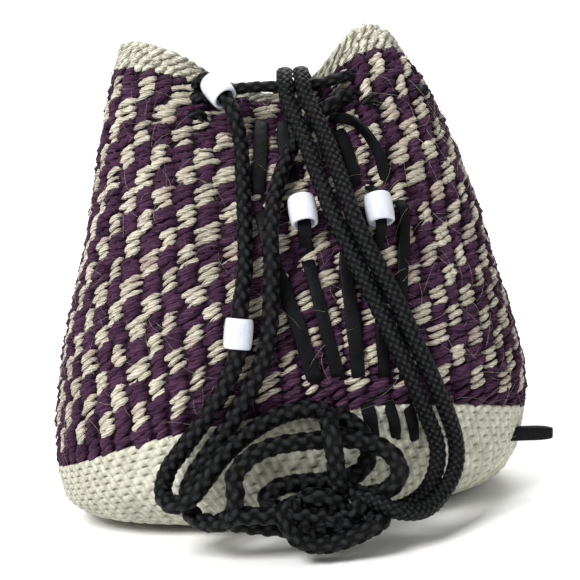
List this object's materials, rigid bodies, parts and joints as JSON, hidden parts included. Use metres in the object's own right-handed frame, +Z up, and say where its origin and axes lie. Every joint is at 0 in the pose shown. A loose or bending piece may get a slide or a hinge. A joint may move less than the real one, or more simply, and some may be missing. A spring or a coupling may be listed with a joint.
{
  "type": "drawstring handbag",
  "caption": "Hand-twined sisal drawstring handbag, checked wall with a plain foot and rim, braided cord closure and strap, barrel beads and leather lacing.",
  "frame": {"origin": "middle of the flat foot, on the surface the bag stands on", "axes": "+Z up through the mouth, front with the cords towards -Y, +X to the right as seen from the front"},
  "size_m": [0.2316, 0.1985, 0.2191],
  "materials": {
    "sisal_cream": "matte",
    "sisal_purple": "matte",
    "cord_black": "satin",
    "bead_white": "gloss",
    "leather_black": "satin"
  },
  "bodies": {
    "root": {"woven_base": "sisal_cream", "woven_body": "sisal_purple", "woven_rim": "sisal_cream", "drawstring_ring": "cord_black", "drawstring_left": "cord_black", "drawstring_right": "cord_black", "strap_cord": "cord_black", "end_knot": "cord_black", "knot_loop": "cord_black", "knot_strand": "cord_black", "bead_mouth": "bead_white", "bead_hanging": "bead_white", "bead_lace_left": "bead_white", "bead_lace_right": "bead_white", "lace_1": "leather_black", "lace_2": "leather_black", "lace_3": "leather_black", "lace_4": "leather_black", "lace_5": "leather_black", "side_tab": "leather_black"}
  },
  "joints": []
}
